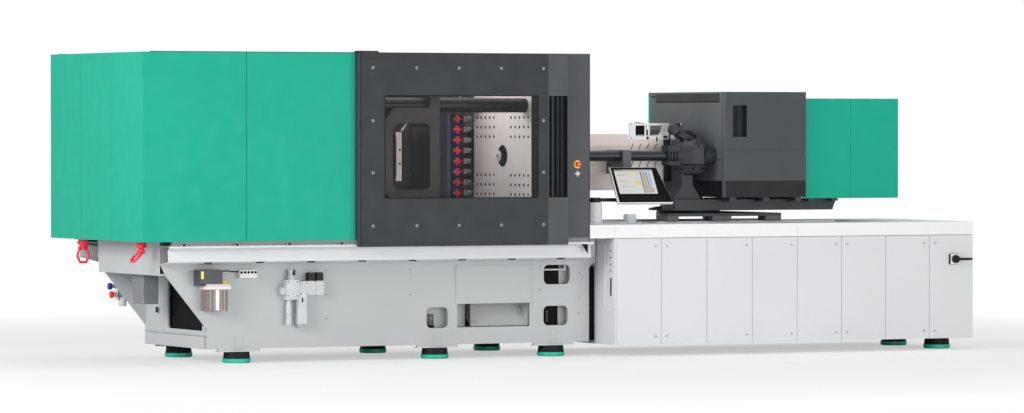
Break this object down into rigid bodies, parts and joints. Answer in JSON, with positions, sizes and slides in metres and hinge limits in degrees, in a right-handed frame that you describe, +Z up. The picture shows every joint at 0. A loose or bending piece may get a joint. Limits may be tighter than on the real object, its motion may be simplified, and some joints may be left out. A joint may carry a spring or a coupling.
{
  "type": "injection moulding machine",
  "caption": "Horizontal injection moulding machine with enclosed clamp, sliding safety gates, platens on tie bars, screw injection unit on a carriage, and a panelled cabinet base.",
  "frame": {"origin": "on the floor, under the centre of the machine's bounding box", "axes": "+X from the clamping end to the injection end, -Y the operator's side, +Z up"},
  "size_m": [6.6652, 1.8343, 2.1883],
  "materials": {
    "base_grey": "satin powder coat",
    "light_grey": "satin powder coat",
    "green_paint": "satin powder coat",
    "dark_paint": "satin powder coat",
    "foot_green": "moulded",
    "foot_black": "moulded",
    "clear_pane": "clear sheet",
    "black_plastic": "moulded",
    "platen_steel": "ground",
    "cast_grey": "painted casting",
    "bar_steel": "ground and oiled",
    "manifold_blue": "painted",
    "guard_beige": "bright sheet",
    "signal_yellow": "moulded",
    "signal_red": "moulded",
    "hoist_red": "painted forging",
    "switch_white": "moulded",
    "lube_dark": "moulded",
    "tank_clear": "translucent"
  },
  "bodies": {
    "machine_body": {"base_front_plate": "base_grey", "base_rear_plate": "base_grey", "base_end_frame": "base_grey", "machine_bed": "base_grey", "foot_discs": "foot_green", "foot_rubbers": "foot_black", "chute_cover": "base_grey", "front_ledge": "light_grey", "rear_ledge": "light_grey", "clamp_cover_panels": "green_paint", "front_gate_frame": "dark_paint", "rear_gate_frame": "dark_paint", "fixed_platen": "platen_steel", "cylinder_platen": "cast_grey", "tie_bars": "bar_steel", "water_manifold": "manifold_blue", "injection_deck": "light_grey", "cabinet_frame": "light_grey", "pump_motor": "cast_grey", "traverse_rods": "dark_paint", "barrel_guard": "guard_beige", "estop_ring": "signal_yellow", "hoist_caps": "hoist_red", "lube_unit": "lube_dark", "lube_tank": "tank_clear", "oil_distributor": "switch_white", "air_unit": "switch_white", "water_valves": "base_grey"},
    "front_gate_body": {"front_gate": "dark_paint", "front_gate_window": "clear_pane", "front_gate_grip": "black_plastic"},
    "rear_gate_body": {"rear_gate": "dark_paint", "rear_gate_window": "clear_pane"},
    "clamp_slide_body": {"moving_platen": "cast_grey", "clamp_ram": "bar_steel"},
    "ejector_body": {"ejector": "platen_steel"},
    "main_switch_body": {"main_switch_lever": "black_plastic"},
    "unit_body": {"carriage": "dark_paint", "injection_housing": "dark_paint", "barrel": "bar_steel", "unit_cover": "dark_paint", "drive_cover": "green_paint", "sliding_guard": "guard_beige"},
    "screw_drive_body": {"plasticising_motor": "cast_grey"},
    "screw_body": {"screw": "bar_steel"},
    "panel_arm_body": {"panel_arm": "dark_paint"},
    "panel_body": {"control_panel": "black_plastic"},
    "estop_body": {"estop_button": "signal_red"},
    "key_body": {"key_switch": "switch_white"},
    "front_loop_body": {"hoist_loop_front": "hoist_red"},
    "rear_loop_body": {"hoist_loop_rear": "hoist_red"},
    "door_1_body": {"cabinet_door_1": "light_grey"},
    "door_2_body": {"cabinet_door_2": "light_grey"},
    "door_3_body": {"cabinet_door_3": "light_grey"},
    "door_4_body": {"cabinet_door_4": "light_grey"},
    "door_5_body": {"cabinet_door_5": "light_grey"},
    "door_6_body": {"cabinet_door_6": "light_grey"},
    "door_7_body": {"cabinet_door_7": "light_grey"},
    "door_8_body": {"cabinet_door_8": "light_grey", "main_switch_plate": "switch_white"}
  },
  "joints": [
    {"name": "front_gate_slide", "type": "slide", "parent": "machine_body", "child": "front_gate_body", "axis": [-1, 0, 0], "range_m": [0, 1.4]},
    {"name": "rear_gate_slide", "type": "slide", "parent": "machine_body", "child": "rear_gate_body", "axis": [-1, 0, 0], "range_m": [0, 1.4]},
    {"name": "clamp_stroke", "type": "slide", "parent": "machine_body", "child": "clamp_slide_body", "axis": [1, 0, 0], "range_m": [-0.15, 0.45]},
    {"name": "ejector_stroke", "type": "slide", "parent": "clamp_slide_body", "child": "ejector_body", "axis": [1, 0, 0], "range_m": [0, 0.15]},
    {"name": "door_1_hinge", "type": "hinge", "parent": "machine_body", "child": "door_1_body", "pos_m": [0.3425, -0.87, 0.468], "axis": [0, 0, -1], "range_deg": [0, 90]},
    {"name": "door_2_hinge", "type": "hinge", "parent": "machine_body", "child": "door_2_body", "pos_m": [1.0783, -0.87, 0.468], "axis": [0, 0, 1], "range_deg": [0, 90]},
    {"name": "door_3_hinge", "type": "hinge", "parent": "machine_body", "child": "door_3_body", "pos_m": [1.0813, -0.87, 0.468], "axis": [0, 0, -1], "range_deg": [0, 90]},
    {"name": "door_4_hinge", "type": "hinge", "parent": "machine_body", "child": "door_4_body", "pos_m": [1.4567, -0.87, 0.468], "axis": [0, 0, -1], "range_deg": [0, 90]},
    {"name": "door_5_hinge", "type": "hinge", "parent": "machine_body", "child": "door_5_body", "pos_m": [1.8321, -0.87, 0.468], "axis": [0, 0, -1], "range_deg": [0, 90]},
    {"name": "door_6_hinge", "type": "hinge", "parent": "machine_body", "child": "door_6_body", "pos_m": [2.5799, -0.87, 0.468], "axis": [0, 0, 1], "range_deg": [0, 90]},
    {"name": "door_7_hinge", "type": "hinge", "parent": "machine_body", "child": "door_7_body", "pos_m": [2.5829, -0.87, 0.468], "axis": [0, 0, -1], "range_deg": [0, 90]},
    {"name": "door_8_hinge", "type": "hinge", "parent": "machine_body", "child": "door_8_body", "pos_m": [3.3307, -0.87, 0.468], "axis": [0, 0, 1], "range_deg": [0, 90]},
    {"name": "main_switch_turn", "type": "hinge", "parent": "door_8_body", "child": "main_switch_body", "pos_m": [3.163, -0.87, 0.672], "axis": [0, -1, 0], "range_deg": [0, 90]},
    {"name": "unit_stroke", "type": "slide", "parent": "machine_body", "child": "unit_body", "axis": [1, 0, 0], "range_m": [0, 0.4]},
    {"name": "screw_stroke", "type": "slide", "parent": "unit_body", "child": "screw_drive_body", "axis": [1, 0, 0], "range_m": [0, 0.25]},
    {"name": "screw_turn", "type": "hinge", "parent": "screw_drive_body", "child": "screw_body", "pos_m": [1.2, 0, 1.442], "axis": [1, 0, 0], "continuous": true},
    {"name": "panel_swing", "type": "hinge", "parent": "machine_body", "child": "panel_arm_body", "pos_m": [0.227, -0.74, 1.1], "axis": [0, 0, 1], "range_deg": [-70, 10]},
    {"name": "panel_tilt", "type": "hinge", "parent": "panel_arm_body", "child": "panel_body", "pos_m": [0.5, -0.74, 1.216], "axis": [1, 0, 0], "range_deg": [-15, 15]},
    {"name": "estop_push", "type": "slide", "parent": "machine_body", "child": "estop_body", "axis": [0, 1, 0], "range_m": [0, 0.005], "stiffness_N_per_m": 1500},
    {"name": "key_turn", "type": "hinge", "parent": "machine_body", "child": "key_body", "pos_m": [0.022, -0.87, 1.319], "axis": [0, 1, 0], "range_deg": [-45, 45]},
    {"name": "front_loop_swing", "type": "hinge", "parent": "machine_body", "child": "front_loop_body", "pos_m": [-3.215, -0.545, 0.788], "axis": [0, 1, 0], "range_deg": [-90, 45]},
    {"name": "rear_loop_swing", "type": "hinge", "parent": "machine_body", "child": "rear_loop_body", "pos_m": [-3.215, 0.545, 0.788], "axis": [1, 0, 0], "range_deg": [-90, 90]}
  ]
}
